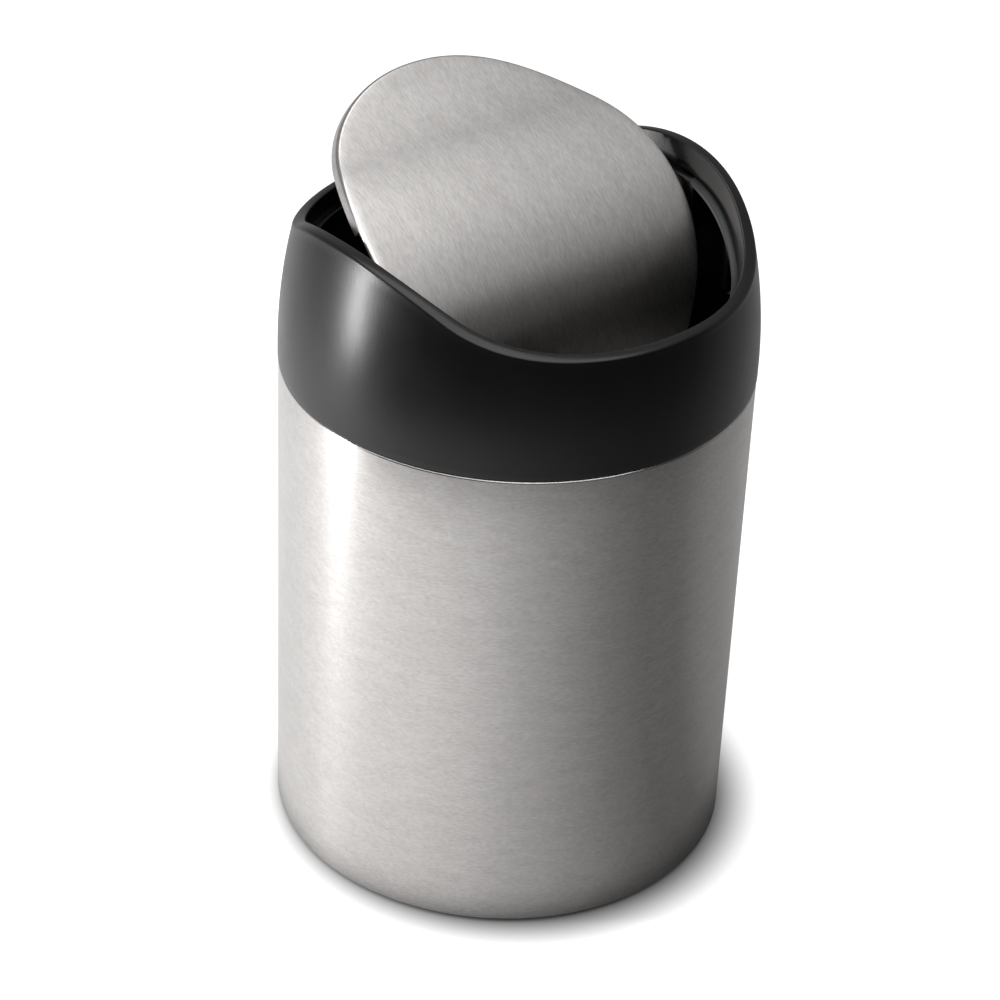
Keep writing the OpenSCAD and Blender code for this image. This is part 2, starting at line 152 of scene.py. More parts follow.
def brushed_steel(name, packing, contrast, spread, roughness):
    """Stainless steel brushed with an abrasive belt, as long hairlines along the grain.

    packing is how finely the noise is packed along x, y and z, so that the hairlines run
    along the axes with a small value. Each hairline tilts the light to both sides of the
    grain, which draws highlights out across it, and spread is that direction."""
    material = new_finish(name)
    place = add_node(material, "ShaderNodeTexCoord")
    packed = add_node(
        material, "ShaderNodeMapping",
        sockets={"Scale": packing},
        links={"Vector": place.outputs["Object"]},
    )
    hairlines = add_node(
        material, "ShaderNodeTexNoise",
        sockets={"Scale": 1 / (GRAIN_MM * MM), "Detail": 2.0, "Roughness": 0.55},
        links={"Vector": packed.outputs["Vector"]},
    )
    streaks = add_node(
        material, "ShaderNodeTexNoise",
        sockets={"Scale": STREAK_SCALE / (GRAIN_MM * MM), "Detail": 2.0, "Roughness": 0.5},
        links={"Vector": packed.outputs["Vector"]},
    )
    together = add_node(
        material, "ShaderNodeMix",
        settings={"data_type": "FLOAT"},
        sockets={"Factor": STREAK_SHARE},
        links={"A": hairlines.outputs["Fac"], "B": streaks.outputs["Fac"]},
    )
    tone = add_node(
        material, "ShaderNodeValToRGB",
        links={"Fac": together.outputs["Result"]},
    )
    tone.color_ramp.elements[0].position = 0.5 - 0.2 / contrast
    tone.color_ramp.elements[0].color = linear("#c6c3c1")
    tone.color_ramp.elements[1].position = 0.5 + 0.2 / contrast
    tone.color_ramp.elements[1].color = linear("#e2dfdd")
    direction = add_node(
        material, "ShaderNodeCombineXYZ",
        sockets={"X": spread[0], "Y": spread[1], "Z": spread[2]},
    )
    steel = add_node(
        material, "ShaderNodeBsdfPrincipled",
        sockets={"Metallic": 1.0, "Anisotropic": 0.75, "Roughness": roughness},
        links={
            "Base Color": tone.outputs["Color"],
            "Tangent": direction.outputs["Vector"],
        },
    )
    finish_with(material, steel.outputs["BSDF"])
    return material


# Stainless steel, grade 430, brushed round the tube: fine level hairlines, and highlights
# that are drawn out up and down.
CAN_STEEL = brushed_steel(
    "brushed_430_stainless_round",
    packing=(0.3, 0.3, 1.0),
    contrast=0.9,
    spread=(0, 0, 1),
    roughness=0.265,
)


def finished(piece, material, body, node):
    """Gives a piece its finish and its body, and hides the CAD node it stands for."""
    piece.data.materials.clear()
    piece.data.materials.append(material)
    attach(piece, body)
    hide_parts(node)


finished(can, CAN_STEEL, "can", "steel_can")


# ---- Floor pan ----
# A pressed disc of stainless steel with a shallow dish and a turned-down edge that ends in a
# curl. It is spot welded inside the tube and closes it near its lower end.

PAN_R = 60.35
PAN_T = 0.6
PAN_BEND = 1.0
PAN_EDGE = 4.2
CURL_R = 0.3
CURL_W = 1.6
FLOOR_Z = 7.6
DISH_R = 40.0
DISH_SLOPE = [(0.0, 0.0), (0.4, 0.15), (0.8, 0.65), (1.2, 0.8)]
DISH_DEPTH = 0.8

dish = [(DISH_R - back, FLOOR_Z - down) for back, down in DISH_SLOPE]
pan = turned(
    "pressed_floor_pan",
    [(2.0, FLOOR_Z - DISH_DEPTH)]
    + dish[::-1]
    + arc(PAN_R - PAN_BEND, FLOOR_Z - PAN_BEND, PAN_BEND, 90, 0, 8)
    + arc(PAN_R - CURL_R, FLOOR_Z - PAN_EDGE + CURL_R, CURL_R, 0, -90, 5)
    + [(PAN_R - CURL_W, FLOOR_Z - PAN_EDGE), (PAN_R - CURL_W, FLOOR_Z - PAN_EDGE + PAN_T)]
    + [(PAN_R - PAN_T, FLOOR_Z - PAN_EDGE + PAN_T)]
    + arc(PAN_R - PAN_BEND, FLOOR_Z - PAN_BEND, PAN_BEND - PAN_T, 0, 90, 5)
    + [(across, up - PAN_T) for across, up in dish]
    + [(2.0, FLOOR_Z - DISH_DEPTH - PAN_T)],
    hollow=False,
)
# Cold-rolled stainless steel as it comes from the mill: dull and cloudy, with no hairlines.
PAN_STEEL = new_finish("cold_rolled_stainless")
pan_place = add_node(PAN_STEEL, "ShaderNodeTexCoord")
pan_clouds = add_node(
    PAN_STEEL, "ShaderNodeTexNoise",
    sockets={"Scale": 60.0, "Detail": 4.0},
    links={"Vector": pan_place.outputs["Object"]},
)
pan_rough = add_node(
    PAN_STEEL, "ShaderNodeMapRange",
    sockets={"To Min": 0.38, "To Max": 0.52},
    links={"Value": pan_clouds.outputs["Fac"]},
)
pan_shader = add_node(
    PAN_STEEL, "ShaderNodeBsdfPrincipled",
    sockets={"Metallic": 1.0, "Base Color": linear("#bcbab6")},
    links={"Roughness": pan_rough.outputs["Result"]},
)
finish_with(PAN_STEEL, pan_shader.outputs["BSDF"])
finished(pan, PAN_STEEL, "can", "floor_pan")


# ---- Base and feet ----
# A black moulded base that snaps over the floor pan's curl, with four rubber feet glued
# into its pockets.

def moulded_plastic(name, colour, grain_mm, grain_depth_mm, low_rough, high_rough):
    """Injection-moulded plastic: one colour all through, with a fine spark-eroded grain."""
    material = new_finish(name)
    place = add_node(material, "ShaderNodeTexCoord")
    grain = add_node(
        material, "ShaderNodeTexNoise",
        sockets={"Scale": 1 / (grain_mm * MM), "Detail": 2.0, "Roughness": 0.5},
        links={"Vector": place.outputs["Object"]},
    )
    clouds = add_node(
        material, "ShaderNodeTexNoise",
        sockets={"Scale": 70.0, "Detail": 3.0},
        links={"Vector": place.outputs["Object"]},
    )
    rough = add_node(
        material, "ShaderNodeMapRange",
        sockets={"From Min": 0.3, "From Max": 0.7, "To Min": low_rough, "To Max": high_rough},
        links={"Value": clouds.outputs["Fac"]},
    )
    pits = add_node(
        material, "ShaderNodeBump",
        sockets={"Strength": 0.35, "Distance": grain_depth_mm * MM},
        links={"Height": grain.outputs["Fac"]},
    )
    plastic = add_node(
        material, "ShaderNodeBsdfPrincipled",
        sockets={"Base Color": linear(colour), "IOR": 1.5},
        links={"Roughness": rough.outputs["Result"], "Normal": pits.outputs["Normal"]},
    )
    finish_with(material, plastic.outputs["BSDF"])
    return material


# Polypropylene, plain moulded: matt black.
BASE_PLASTIC = moulded_plastic("moulded_black_polypropylene", "#1d1c1c", 0.5, 0.03, 0.5, 0.6)
# Rubber, compression moulded: duller and greyer than the plastic round it.
FOOT_RUBBER = moulded_plastic("moulded_black_rubber", "#232222", 0.6, 0.05, 0.75, 0.85)
BASE_Z = 0.6
BASE_R = 60.5
BASE_SOFT = 0.25
BASE_FLOOR = 2.6
SEAT_R = 60.3
SEAT_Z = 1.2
CLIP_IN = 56.65
CLIP_OUT = 58.65
CLIP_TOP = 6.9
BEAD_R = 59.15
BEAD_Z = 4.6
FOOT_R = 6.0
FOOT_AT = 48.0
FOOT_TURNS = (45, 135, 225, 315)
FOOT_SOFT = 0.35
FOOT_HOLLOW = 0.2
FOOT_GAP = 0.05
POCKET_GAP = 0.1
POCKET_TOP = BASE_Z + 1.0


def select_only(piece):
    """Makes one object the only selected and the active one."""
    bpy.ops.object.select_all(action="DESELECT")
    piece.select_set(True)
    bpy.context.view_layer.objects.active = piece


def copied(piece, name):
    """A copy with its own mesh."""
    select_only(piece)
    bpy.ops.object.duplicate(linked=False)
    twin = bpy.context.object
    twin.name = name
    return twin


def placed(piece, matrix):
    """Moves or turns a piece and leaves its origin where it was, at the world's."""
    piece.matrix_world = matrix
    select_only(piece)
    bpy.ops.object.transform_apply(location=True, rotation=True, scale=True)
    if matrix.determinant() < 0:
        bpy.ops.object.mode_set(mode="EDIT")
        bpy.ops.mesh.select_all(action="SELECT")
        bpy.ops.mesh.normals_make_consistent(inside=False)
        bpy.ops.object.mode_set(mode="OBJECT")
    return piece


def about_z(degrees, across=0.0, up=0.0):
    """The placing of something that stands across mm out and up mm high, turned round Z."""
    shift = Matrix.Translation((across * MM, 0, up * MM))
    return Matrix.Rotation(math.radians(degrees), 4, "Z") @ shift


def combined(piece, other, operation):
    """Unites another object with a piece, or cuts it out of the piece, and uses it up."""
    select_only(piece)
    bpy.ops.object.modifier_add(type="BOOLEAN")
    joint = piece.modifiers[-1]
    joint.operation = operation
    joint.solver = "MANIFOLD"
    joint.object = other
    bpy.ops.object.modifier_apply(modifier=joint.name)
    bpy.data.objects.remove(other)
    return piece


def smoothed(piece, degrees=35):
    """Smooth shading over every edge flatter than an angle."""
    select_only(piece)
    bpy.ops.object.shade_smooth_by_angle(angle=math.radians(degrees))
    return piece


base = turned(
    "moulded_base",
    [(2.0, BASE_Z + 0.3), (2.4, BASE_Z)]
    + arc(BASE_R - BASE_SOFT, BASE_Z + BASE_SOFT, BASE_SOFT, -90, 0, 4)
    + [(BASE_R, SEAT_Z - 0.1), (BASE_R - 0.1, SEAT_Z), (SEAT_R, SEAT_Z)]
    + [(SEAT_R, BASE_FLOOR - 0.1), (SEAT_R - 0.1, BASE_FLOOR), (CLIP_OUT, BASE_FLOOR)]
    + [(CLIP_OUT, BEAD_Z - 0.5), (BEAD_R, BEAD_Z), (CLIP_OUT, CLIP_TOP - 0.2)]
    + [(CLIP_OUT - 0.2, CLIP_TOP), (CLIP_IN + 0.2, CLIP_TOP), (CLIP_IN, CLIP_TOP - 0.2)]
    + [(CLIP_IN, BASE_FLOOR), (2.0, BASE_FLOOR)],
    hollow=False,
)
for turn in FOOT_TURNS:
    pocket = turned(
        "pocket_cutter",
        [(1.0, -1.0), (FOOT_R + POCKET_GAP, -1.0), (FOOT_R + POCKET_GAP, POCKET_TOP)]
        + [(1.0, POCKET_TOP)],
        columns=64,
        hollow=False,
    )
    base = combined(base, placed(pocket, about_z(turn, FOOT_AT)), "DIFFERENCE")
finished(smoothed(base), BASE_PLASTIC, "can", "base_cap")

foot = turned(
    "rubber_foot",
    [(1.0, FOOT_HOLLOW), (FOOT_R - 1.6, FOOT_HOLLOW), (FOOT_R - 1.2, 0.0)]
    + arc(FOOT_R - FOOT_SOFT, FOOT_SOFT, FOOT_SOFT, -90, 0, 5)
    + [(FOOT_R, POCKET_TOP - FOOT_GAP), (1.0, POCKET_TOP - FOOT_GAP)],
    columns=64,
    hollow=False,
)
for number, turn in enumerate(FOOT_TURNS, 1):
    twin = placed(copied(foot, f"rubber_foot_{number}"), about_z(turn, FOOT_AT))
    finished(twin, FOOT_RUBBER, "can", "rubber_feet")
bpy.data.objects.remove(foot)


# ---- Collar ----
# A black ABS moulding with a satin grain, which lifts off the can. Its side sweeps inwards
# and its rim rises to both pivots. The wall inside the rim is turned down to the ledge, and
# a skirt with ribs drops into the can.

COLLAR_R = 61.15
SEAM_Z = 136.9
SWEEP_Z = 140.3
SWEEP_R = 141.0
RIM_HIGH = 182.5
RIM_FALL = 14.6
WAVE_HALF = 59.3
WAVE_R = (WAVE_HALF ** 2 + RIM_FALL ** 2) / (4 * RIM_FALL)
RIM_CORNER = 1.2
RIM_LIP = 0.4
SHELL_T = 2.2
SEAM_SOFT = 0.35
MOUTH = (51.685, 55.415)
MOUTH_POWER = 2.15
MOUTH_WALL_T = 1.6
LEDGE_DROP = 6.0
WALL_SLOPE_SIDE = 1.5
WALL_SLOPE_END = 0.3
WALL_GAP = 0.1
WALL_SOFT = 0.2
COLUMNS = 288
SIDE_RINGS = 22
SKIRT_IN = 56.8
SKIRT_R = 59.0
SKIRT_LOW = 121.9
RIB_IN = 58.2
RIB_OUT = 59.5
RIB_HALF = 1.0
RIB_COUNT = 8
BOSS_AT = 55.5
BOSS_R = 2.4
BOSS_BORE = 1.15
BOSS_LOW = 154.3
BOSS_TOP = 161.1
WEB_OUT = 58.7
SCREW_TURNS = (28, 152, 208, 332)


def side_radius(height):
    """Radius of the collar's side at a height."""
    if height <= SWEEP_Z:
        return COLLAR_R
    return COLLAR_R - SWEEP_R + math.sqrt(SWEEP_R ** 2 - (height - SWEEP_Z) ** 2)


def rim_height(y):
    """Height of the rim's wave: a crest between the pivots and a hollow at each end."""
    y = abs(y)
    if y <= WAVE_HALF / 2:
        return RIM_HIGH - WAVE_R + math.sqrt(WAVE_R ** 2 - y ** 2)
    return RIM_HIGH - RIM_FALL + WAVE_R - math.sqrt(WAVE_R ** 2 - (WAVE_HALF - y) ** 2)


def oval_radius(size, power, angle):
    """Distance of a squared oval from the axis, in one direction."""
    across = abs(math.cos(angle)) / size[0]
    along = abs(math.sin(angle)) / size[1]
    return (across ** power + along ** power) ** (-1 / power)


def collar_section(angle):
    """The collar's closed section in one direction, as points of (radius, height)."""
    sine = math.sin(angle)

    def top(radius):
        return rim_height(radius * sine)

    outer = COLLAR_R
    for _ in range(6):
        outer = side_radius(top(outer))
    mouth = oval_radius(MOUTH, MOUTH_POWER, angle)
    slope = (top(outer) - top(mouth)) / (outer - mouth)
    tilt = math.degrees(math.atan(slope))
    section = arc(COLLAR_R - SEAM_SOFT, SEAM_Z + SEAM_SOFT, SEAM_SOFT, -90, 0, 4)
    shoulder = top(outer) - RIM_CORNER * 1.02
    for step in range(1, SIDE_RINGS + 1):
        height = SEAM_Z + SEAM_SOFT + (shoulder - SEAM_Z - SEAM_SOFT) * step / SIDE_RINGS
        section.append((side_radius(height), height))
    centre = (side_radius(shoulder) - RIM_CORNER, shoulder)
    section += arc(*centre, RIM_CORNER, 8, 90 + tilt, 6)
    inner_across = mouth + RIM_LIP
    inner_up = top(inner_across) - RIM_LIP / math.cos(math.radians(tilt))
    for step in range(1, 4):
        share = step / 4
        across = centre[0] + (inner_across - centre[0]) * share
        section.append((across, top(across)))
    section += arc(inner_across, inner_up, RIM_LIP, 90 + tilt, 180, 5)
    wall_in = mouth - WALL_SLOPE_SIDE * math.cos(angle) ** 2 - WALL_SLOPE_END * sine ** 2
    wall_low = top(mouth) - LEDGE_DROP + WALL_GAP
    for step in range(1, 4):
        share = step / 3
        height = inner_up + (wall_low + WALL_SOFT - inner_up) * share
        section.append((mouth + (wall_in - mouth) * share, height))
    section += [(wall_in + 0.06, wall_low + 0.06), (wall_in + WALL_SOFT, wall_low)]
    section.append((wall_in + MOUTH_WALL_T, wall_low))
    back = mouth + MOUTH_WALL_T
    section.append((back, top(back) - SHELL_T))
    under = side_radius(top(outer) - SHELL_T) - SHELL_T
    section.append((under, top(under) - SHELL_T))
    for step in range(1, 7):
        height = top(under) - SHELL_T + (SWEEP_Z - top(under) + SHELL_T) * step / 6
        section.append((side_radius(height) - SHELL_T, height))
    section += [(SKIRT_IN, SEAM_Z), (SKIRT_IN, SKIRT_LOW + 0.4), (SKIRT_IN + 0.4, SKIRT_LOW)]
    section += [(SKIRT_R - 0.4, SKIRT_LOW), (SKIRT_R, SKIRT_LOW + 0.4), (SKIRT_R, SEAM_Z - 0.2)]
    section += [(SKIRT_R + 0.2, SEAM_Z), (COLLAR_R - 0.8, SEAM_Z)]
    return section


def skinned(name, points, faces):
    """A closed skin over points and faces that are worked out, with loose points removed."""
    mesh = bpy.data.meshes.new(name)
    mesh.from_pydata(points, [], faces)
    piece = bpy.data.objects.new(name, mesh)
    bpy.context.scene.collection.objects.link(piece)
    select_only(piece)
    bpy.ops.object.mode_set(mode="EDIT")
    bpy.ops.mesh.select_all(action="SELECT")
    bpy.ops.mesh.delete_loose()
    bpy.ops.mesh.select_all(action="SELECT")
    bpy.ops.mesh.remove_doubles(threshold=0.001 * MM)
    bpy.ops.mesh.normals_make_consistent(inside=False)
    bpy.ops.object.mode_set(mode="OBJECT")
    bpy.ops.object.shade_smooth_by_angle(angle=math.radians(40))
    return piece


def ringed(name, sections):
    """A closed band skinned over its sections, one for each direction round the axis.

    No turning or extruding gives this rim, because its height differs all the way round."""
    count = len(sections[0])
    points = []
    for index, section in enumerate(sections):
        angle = 2 * math.pi * index / len(sections)
        for radius, height in section:
            points.append(
                (radius * math.cos(angle) * MM, radius * math.sin(angle) * MM, height * MM)
            )
    faces = []
    for index in range(len(sections)):
        here = index * count
        there = (index + 1) % len(sections) * count
        for step in range(count):
            next_step = (step + 1) % count
            faces.append((here + step, there + step, there + next_step, here + next_step))
    return skinned(name, points, faces)


collar = ringed(
    "collar_moulding",
    [collar_section(2 * math.pi * column / COLUMNS) for column in range(COLUMNS)],
)


def block(name, low, high, soft):
    """A block between two corners in mm, with softened edges."""
    bpy.ops.object.select_all(action="DESELECT")
    bpy.ops.mesh.primitive_cube_add(
        size=1,
        location=[(a + b) / 2 * MM for a, b in zip(low, high)],
        scale=[(b - a) * MM for a, b in zip(low, high)],
    )
    piece = bpy.context.object
    piece.name = name
    bpy.ops.object.transform_apply(location=True, rotation=True, scale=True)
    bpy.ops.object.mode_set(mode="EDIT")
    bpy.ops.mesh.select_all(action="SELECT")
    bpy.ops.mesh.bevel(offset=soft * MM, segments=3, affect="EDGES")
    bpy.ops.object.mode_set(mode="OBJECT")
    return piece


for number in range(RIB_COUNT):
    rib = block(
        "skirt_rib",
        (RIB_IN, -RIB_HALF, SKIRT_LOW + 1),
        (RIB_OUT, RIB_HALF, SEAM_Z - 0.3),
        soft=0.25,
    )
    turn = 360 / RIB_COUNT * (number + 0.5)
    collar = combined(collar, placed(rib, about_z(turn)), "UNION")
for turn in SCREW_TURNS:
    boss = turned(
        "screw_boss",
        [(BOSS_BORE, BOSS_LOW), (BOSS_R - 0.2, BOSS_LOW), (BOSS_R, BOSS_LOW + 0.2)]
        + [(BOSS_R, BOSS_TOP), (BOSS_BORE, BOSS_TOP)],
        columns=48,
    )
    boss = placed(boss, about_z(turn, BOSS_AT))
    web = block(
        "boss_web",
        (BOSS_AT + 1.6, -0.8, BOSS_LOW + 0.1),
        (WEB_OUT, 0.8, BOSS_TOP - 0.1),
        soft=0.2,
    )
    collar = combined(collar, boss, "UNION")
    collar = combined(collar, placed(web, about_z(turn)), "UNION")
collar = smoothed(collar, 40)
# ABS with a satin spark-eroded grain: near black, with broad soft highlights.
COLLAR_PLASTIC = moulded_plastic("satin_black_abs", "#050505", 0.4, 0.06, 0.28, 0.33)
finished(collar, COLLAR_PLASTIC, "collar", "collar_shell")


# ---- Lid cradle, bearings and screws ----
# The ledge inside the mouth is a second ABS moulding, with legs and bearing blocks under
# it, held from below by four self-tapping screws. Acetal bushes lie in the blocks' saddles
# under snap-in caps.

# Acetal, moulded: milky white and slightly waxy.
BUSH_ACETAL = moulded_plastic("moulded_acetal", "#e6e3da", 0.5, 0.01, 0.35, 0.45)


def plated_steel(name, colour, rough):
    """Steel with a thin zinc plate: grey, with a faint cloudy bloom."""
    material = new_finish(name)
    place = add_node(material, "ShaderNodeTexCoord")
    bloom = add_node(
        material, "ShaderNodeTexNoise",
        sockets={"Scale": 300.0, "Detail": 3.0},
        links={"Vector": place.outputs["Object"]},
    )
    cloudy = add_node(
        material, "ShaderNodeMapRange",
        sockets={"To Min": rough - 0.06, "To Max": rough + 0.06},
        links={"Value": bloom.outputs["Fac"]},
    )
    metal = add_node(
        material, "ShaderNodeBsdfPrincipled",
        sockets={"Metallic": 1.0, "Base Color": linear(colour)},
        links={"Roughness": cloudy.outputs["Result"]},
    )
    finish_with(material, metal.outputs["BSDF"])
    return material


# Zinc-plated screws: pale grey and half bright.
SCREW_ZINC = plated_steel("zinc_plated_screw_steel", "#b9b8b3", 0.32)
PIVOT_Z = 171.0
THROAT = (48.035, 54.715)
THROAT_POWER = 2.1
LEDGE_T = 1.8
LEDGE_SLOPE = 0.22
LEDGE_OPEN = 0.55
LEDGE_SOFT = 0.3
SEAT_HALF = 7.6
SADDLE_R = 3.55
SADDLE_IN = 47.0
SADDLE_OUT = 51.535
BLOCK_IN = 48.3
BLOCK_OUT = 52.8
BLOCK_HALF = 9.0
BLOCK_TOP = 175.0
CAP_LOW = PIVOT_Z + 3.4
CAP_TOP = CAP_LOW + 1.2
CAP_OUT = SADDLE_OUT - 0.1
CAP_HALF = 7.5
CAP_FOOT_HALF = 3.5
STOP_IN = 44.635
STOP_LOW = PIVOT_Z - 9.8
STOP_HALF = 5.2
STOP_H = 4.0
TAB_LOW = 152.4
TAB_R = 2.1
TAB_BORE = 1.3
TAB_TOP = TAB_LOW + 1.9
LEG_IN = oval_radius(THROAT, THROAT_POWER, math.radians(SCREW_TURNS[0])) + 2.6
LEG_T = 1.6
LEG_HALF = 2.1
LEG_TOP = 167.5
CUT_TOP = 180
CUT_OUT = 52.5
BUSH_IN = 47.635


def ledge_section(angle):
    """The ledge's closed section in one direction: it slopes in, to a rounded edge."""
    sine = math.sin(angle)
    wall = oval_radius(MOUTH, MOUTH_POWER, angle)
    outer = wall + 0.8
    inner = oval_radius(THROAT, THROAT_POWER, angle) + LEDGE_OPEN * math.cos(angle) ** 2
    level = max(wall - WALL_SLOPE_SIDE * math.cos(angle) ** 2, inner + 0.2)

    def top(radius):
        fall = LEDGE_SLOPE * max(level - radius, 0)
        return rim_height(radius * sine) - LEDGE_DROP - fall

    section = [(outer, top(outer))]
    for step in range(1, 4):
        radius = level + (outer - level) * (1 - step / 3)
        section.append((radius, top(radius)))
    bend_at = inner + LEDGE_SOFT
    section += arc(bend_at, top(bend_at) - LEDGE_SOFT, LEDGE_SOFT, 90, 180, 5)
    low = rim_height(inner * sine) - LEDGE_DROP - LEDGE_T
    section += [(inner, low + 0.1), (inner + 0.1, low)]
    outer_low = rim_height(outer * sine) - LEDGE_DROP - LEDGE_T
    section += [(outer - 0.1, outer_low), (outer, top(outer) - 0.4)]
    return section


def on_pivot(across):
    """The placing that lays something along the pivot axis, from a distance across."""
    shift = Matrix.Translation((across * MM, 0, PIVOT_Z * MM))
    return shift @ Matrix.Rotation(math.radians(90), 4, "Y")


def along_x(low, high, radius, columns=64):
    """A plain round cutter along the pivot axis."""
    cutter = turned(
        "round_cutter",
        [(0.5, 0.0), (radius, 0.0), (radius, high - low), (0.5, high - low)],
        columns=columns,
        hollow=False,
    )
    return placed(cutter, on_pivot(low))


cradle = ringed(
    "cradle_moulding",
    [ledge_section(2 * math.pi * column / COLUMNS) for column in range(COLUMNS)],
)
bearing = block(
    "bearing_block",
    (BLOCK_IN, -BLOCK_HALF, STOP_LOW),
    (BLOCK_OUT, BLOCK_HALF, BLOCK_TOP),
    soft=0.4,
)
stop = block(
    "lid_stop",
    (STOP_IN, -STOP_HALF, STOP_LOW),
    (BLOCK_IN + 1.2, STOP_HALF, STOP_LOW + STOP_H),
    soft=0.4,
)
bearing = combined(bearing, stop, "UNION")
saddle = along_x(SADDLE_IN, SADDLE_OUT, SADDLE_R)
for half, low in ((SADDLE_R, PIVOT_Z), (SEAT_HALF, CAP_LOW)):
    slot = block("slot_cutter", (SADDLE_IN, -half, low), (SADDLE_OUT, half, CUT_TOP), soft=0.01)
    saddle = combined(saddle, slot, "UNION")
for turn in (0, 180):
    cradle = combined(cradle, placed(copied(bearing, "bearing_twin"), about_z(turn)), "UNION")
    cradle = combined(cradle, placed(copied(saddle, "saddle_twin"), about_z(turn)), "DIFFERENCE")
bpy.data.objects.remove(bearing)
bpy.data.objects.remove(saddle)
for turn in SCREW_TURNS:
    leg = block(
        "cradle_leg",
        (LEG_IN, -LEG_HALF, TAB_LOW),
        (LEG_IN + LEG_T, LEG_HALF, LEG_TOP),
        soft=0.3,
    )
    tab = turned(
        "screw_tab",
        [(TAB_BORE, TAB_LOW), (TAB_R - 0.2, TAB_LOW), (TAB_R, TAB_LOW + 0.2)]
        + [(TAB_R, TAB_TOP - 0.2), (TAB_R - 0.2, TAB_TOP), (TAB_BORE, TAB_TOP)],
        columns=48,
    )
    tongue = block(
        "tab_tongue",
        (LEG_IN + 0.2, -2.0, TAB_LOW),
        (BOSS_AT - 1.5, 2.0, TAB_TOP),
        soft=0.2,
    )
    cradle = combined(cradle, placed(leg, about_z(turn)), "UNION")
    cradle = combined(cradle, placed(tab, about_z(turn, BOSS_AT)), "UNION")
    cradle = combined(cradle, placed(tongue, about_z(turn)), "UNION")
finished(smoothed(cradle), COLLAR_PLASTIC, "collar", "lid_cradle")

cap = block("bearing_cap", (BLOCK_IN, -CAP_HALF, CAP_LOW), (CAP_OUT, CAP_HALF, CAP_TOP), 0.25)
cap_foot = block(
    "cap_foot",
    (BLOCK_IN, -CAP_FOOT_HALF, PIVOT_Z + 1),
    (CAP_OUT, CAP_FOOT_HALF, CAP_LOW + 0.6),
    soft=0.15,
)
cap = combined(cap, cap_foot, "UNION")
cap = combined(cap, along_x(SADDLE_IN, CUT_OUT, SADDLE_R), "DIFFERENCE")
# The bush's profile from its flange inwards: a bore of 4.1 mm, a flange of 9 mm and a sleeve
# of 7 mm.
bush = turned(
    "acetal_bush",
    [(2.05, 0.1), (2.15, 0.0), (4.4, 0.0), (4.5, 0.1), (4.5, 0.3), (4.4, 0.4), (3.5, 0.4)]
    + [(3.5, 3.6), (3.3, 3.8), (2.25, 3.8), (2.05, 3.6)],
    columns=96,
)
bush = placed(bush, on_pivot(BUSH_IN))
for turn, side in ((180, "left"), (0, "right")):
    twin = smoothed(placed(copied(cap, f"snap_in_cap_{side}"), about_z(turn)))
    finished(twin, COLLAR_PLASTIC, "collar", f"bearing_cap_{side}")
    twin = placed(copied(bush, f"acetal_bush_{side}"), about_z(turn))
    finished(twin, BUSH_ACETAL, "collar", f"pivot_bush_{side}")
bpy.data.objects.remove(cap)
bpy.data.objects.remove(bush)


def self_tapper(name, shank_r, length, head_r, head_h, pitch):
    """A pan head screw with its head under height 0, and a cross in the head's lower face.

    The thread is drawn as rings, one for each turn."""
    core_r = shank_r * 0.8
    reach = head_r * 0.55
    slot = head_r * 0.16
    profile = [(0.5, -head_h), (reach, -head_h), (head_r * 0.85, -head_h * 0.8)]
    profile += [(head_r, -head_h * 0.4), (head_r, -0.1), (head_r - 0.1, 0.0), (core_r, 0.0)]
    up = 0.6
    while up < length - 1.4:
        profile += [(core_r, up), (shank_r, up + pitch * 0.25), (core_r, up + pitch * 0.5)]
        up += pitch
    profile += [(shank_r * 0.75, length - 1.2), (0.3, length)]
    screw = turned(name, profile, columns=48, hollow=False)
    for across, along in ((reach, slot), (slot, reach)):
        bar = block(
            "cross_cutter",
            (-across, -along, -head_h - 1),
            (across, along, -head_h * 0.35),
            soft=0.02,
        )
        screw = combined(screw, bar, "DIFFERENCE")
    return smoothed(screw)


screw = self_tapper("cradle_screw", shank_r=1.1, length=7.0, head_r=2.0, head_h=1.6, pitch=0.8)
for number, turn in enumerate(SCREW_TURNS, 1):
    twin = placed(copied(screw, f"cradle_screw_{number}"), about_z(turn, BOSS_AT, TAB_LOW))
    finished(twin, SCREW_ZINC, "collar", "cradle_screws")
bpy.data.objects.remove(screw)


# ---- Lid ----
# A pressed sheet of stainless steel, brushed from front to back. It is curved like the rim,
# and its edge is folded down round a plastic frame, except beside the pivots.

LID = (47.335, 54.015)
LID_POWER = 2.1
LID_DROP = 5.3
LID_T = 0.6
LID_EDGE = 3.2
EDGE_BEND = 0.9
EDGE_GAP_HALF = 12.7
LID_OPEN = 41.8
LID_COLUMNS = 256
LID_RINGS = 26
BEND_RINGS = 6
TAB_T = 0.5
TAB_W = 1.5
TAB_L = 7.0
TAB_INSET = 1.05
TAB_COUNT = 8
SWING = (
    Matrix.Translation((0, 0, PIVOT_Z * MM))
    @ Matrix.Rotation(math.radians(LID_OPEN), 4, "X")
    @ Matrix.Translation((0, 0, -PIVOT_Z * MM))
)


def lid_column(angle, inset):
    """Points across the lid in one direction: out over the sheet, round the bend, down."""
    edge = oval_radius(LID, LID_POWER, angle) - inset
    bend = EDGE_BEND - inset
    points = []
    for ring in range(1, LID_RINGS + 1):
        radius = (edge - bend) * ring / LID_RINGS
        points.append((radius, rim_height(radius * math.sin(angle)) - LID_DROP - inset))
    top_radius = points[-1][0]
    for step in range(1, BEND_RINGS + 1):
        turn = math.radians(90 * step / BEND_RINGS)
        radius = top_radius + bend * math.sin(turn)
        crown = rim_height(radius * math.sin(angle)) - LID_DROP - inset
        points.append((radius, crown - bend * (1 - math.cos(turn))))
    points.append((edge, rim_height(edge * math.sin(angle)) - LID_DROP - LID_EDGE))
    return points


